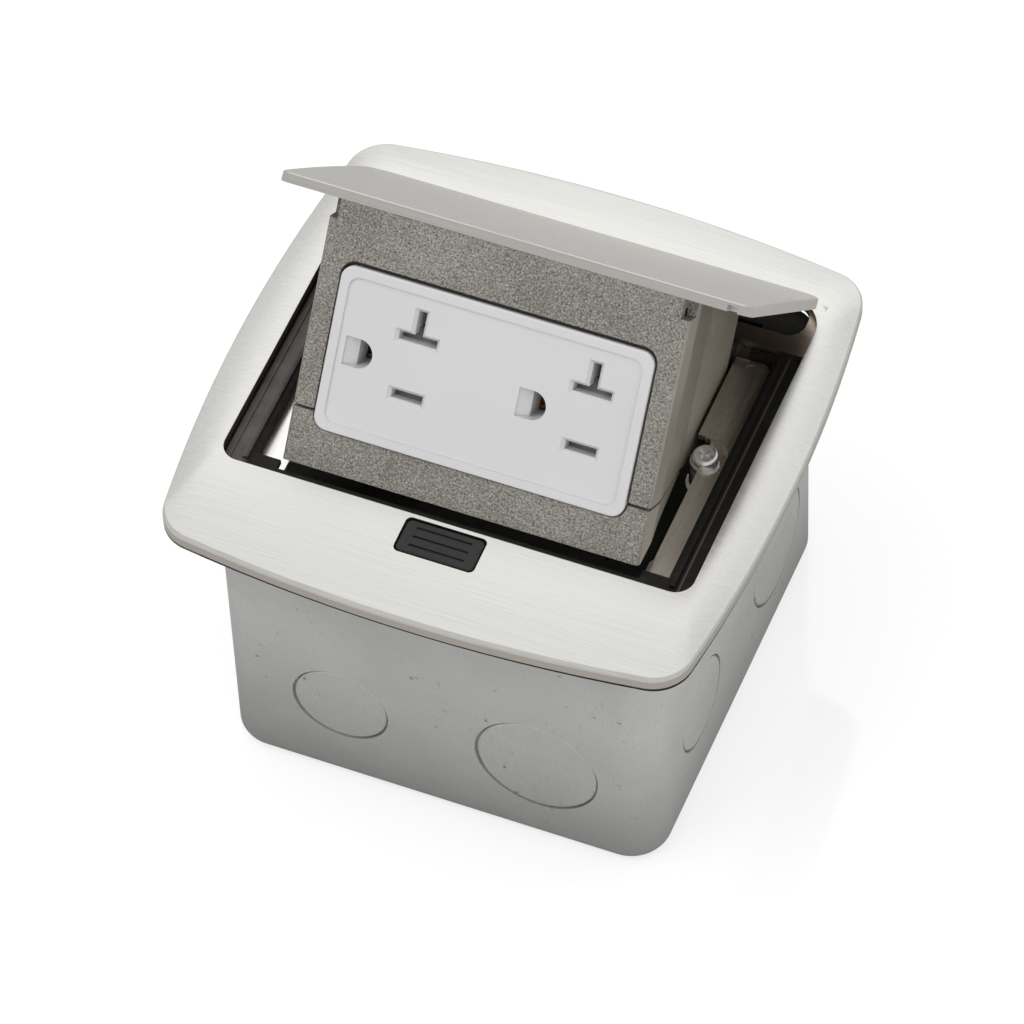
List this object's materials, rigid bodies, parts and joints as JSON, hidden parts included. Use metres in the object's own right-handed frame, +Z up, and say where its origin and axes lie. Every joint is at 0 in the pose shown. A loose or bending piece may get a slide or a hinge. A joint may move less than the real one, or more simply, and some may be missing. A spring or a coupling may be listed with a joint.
{
  "type": "pop-up floor outlet",
  "caption": "Pop-up floor outlet: cast floor box, domed nickel cover plate and a sprung lid carriage that lifts a duplex receptacle.",
  "frame": {"origin": "middle of the floor box's underside", "axes": "+X right along the hinge, +Y to the hinge side at the back, +Z up out of the floor"},
  "size_m": [0.1256, 0.1228, 0.1305],
  "materials": {
    "cast_box": "as cast, satin, lightly scuffed",
    "brushed_nickel_plate": "brushed along X",
    "brushed_nickel_lid": "satin, brushed along X",
    "textured_grey_paint": "fine pebble texture",
    "plated_sheet": "bright nickel plate",
    "zinc_screws": "bright zinc plate",
    "steel_pins": "turned steel",
    "spring_wire": "drawn spring wire",
    "black_rubber": "matt black",
    "black_button": "fine texture",
    "white_nylon": "natural nylon",
    "pale_grey_plastic": "fine satin moulding",
    "dark_grey_plastic": "moulded thermoset",
    "grey_shutter": "moulded",
    "brass_parts": "stamped brass",
    "silver_screws": "nickel plated",
    "green_screws": "green passivated"
  },
  "bodies": {
    "housing": {"floor_box": "cast_box", "cover_plate": "brushed_nickel_plate", "inner_frame": "plated_sheet", "right_hinge_bracket": "plated_sheet", "left_hinge_bracket": "plated_sheet", "frame_screws": "zinc_screws", "plate_screws": "zinc_screws", "pivot_pin": "steel_pins", "pin_clips": "steel_pins", "bracket_rivets": "steel_pins", "left_latch_spring": "spring_wire", "right_latch_spring": "spring_wire", "floor_seal": "black_rubber", "lid_seal": "black_rubber", "ground_screw": "green_screws"},
    "carriage": {"lid": "brushed_nickel_lid", "lid_screws": "zinc_screws", "bezel_frame": "textured_grey_paint", "lower_strip": "textured_grey_paint", "strip_screws": "zinc_screws", "right_hinge_arm": "plated_sheet", "left_hinge_arm": "plated_sheet", "arm_rivets": "steel_pins", "receptacle_face": "pale_grey_plastic", "receptacle_body": "dark_grey_plastic", "mounting_strap": "plated_sheet", "strap_screws": "zinc_screws", "strap_rivets": "steel_pins", "hot_contacts": "brass_parts", "neutral_contacts": "brass_parts", "ground_contacts": "brass_parts", "brass_terminal_screws": "brass_parts", "silver_terminal_screws": "silver_screws", "receptacle_ground_screw": "green_screws", "left_shutter_spring": "spring_wire", "right_shutter_spring": "spring_wire", "right_lift_spring": "spring_wire", "left_lift_spring": "spring_wire", "left_pivot_bush": "white_nylon", "right_pivot_bush": "white_nylon"},
    "latch": {"latch_plate": "plated_sheet"},
    "button": {"release_button": "black_button"},
    "left_shutter": {"left_shutter": "grey_shutter"},
    "right_shutter": {"right_shutter": "grey_shutter"}
  },
  "joints": [
    {"name": "lid_hinge", "type": "hinge", "parent": "housing", "child": "carriage", "pos_m": [0, 0.0414, 0.0654], "axis": [1, 0, 0], "range_deg": [0, 47], "stiffness_Nm_per_rad": 0.2, "springref_deg": -85.94},
    {"name": "latch_slide", "type": "slide", "parent": "housing", "child": "latch", "axis": [0, 1, 0], "range_m": [-0.0006, 0.0022], "stiffness_N_per_m": 200, "deforming": ["left_latch_spring", "right_latch_spring"]},
    {"name": "button_press", "type": "slide", "parent": "housing", "child": "button", "axis": [0, 0, 1], "range_m": [-0.0003, 0.0011]},
    {"name": "left_shutter_slide", "type": "slide", "parent": "carriage", "child": "left_shutter", "axis": [0, 0.575, 0.8181], "range_m": [-0.0025, 0], "stiffness_N_per_m": 40, "springref_m": 0.001, "deforming": ["left_shutter_spring"]},
    {"name": "right_shutter_slide", "type": "slide", "parent": "carriage", "child": "right_shutter", "axis": [0, 0.575, 0.8181], "range_m": [-0.0025, 0], "stiffness_N_per_m": 40, "springref_m": 0.001, "deforming": ["right_shutter_spring"]}
  ],
  "couplings": [
    {"joint": "button_press", "follows": "latch_slide", "ratio": 0.5}
  ]
}
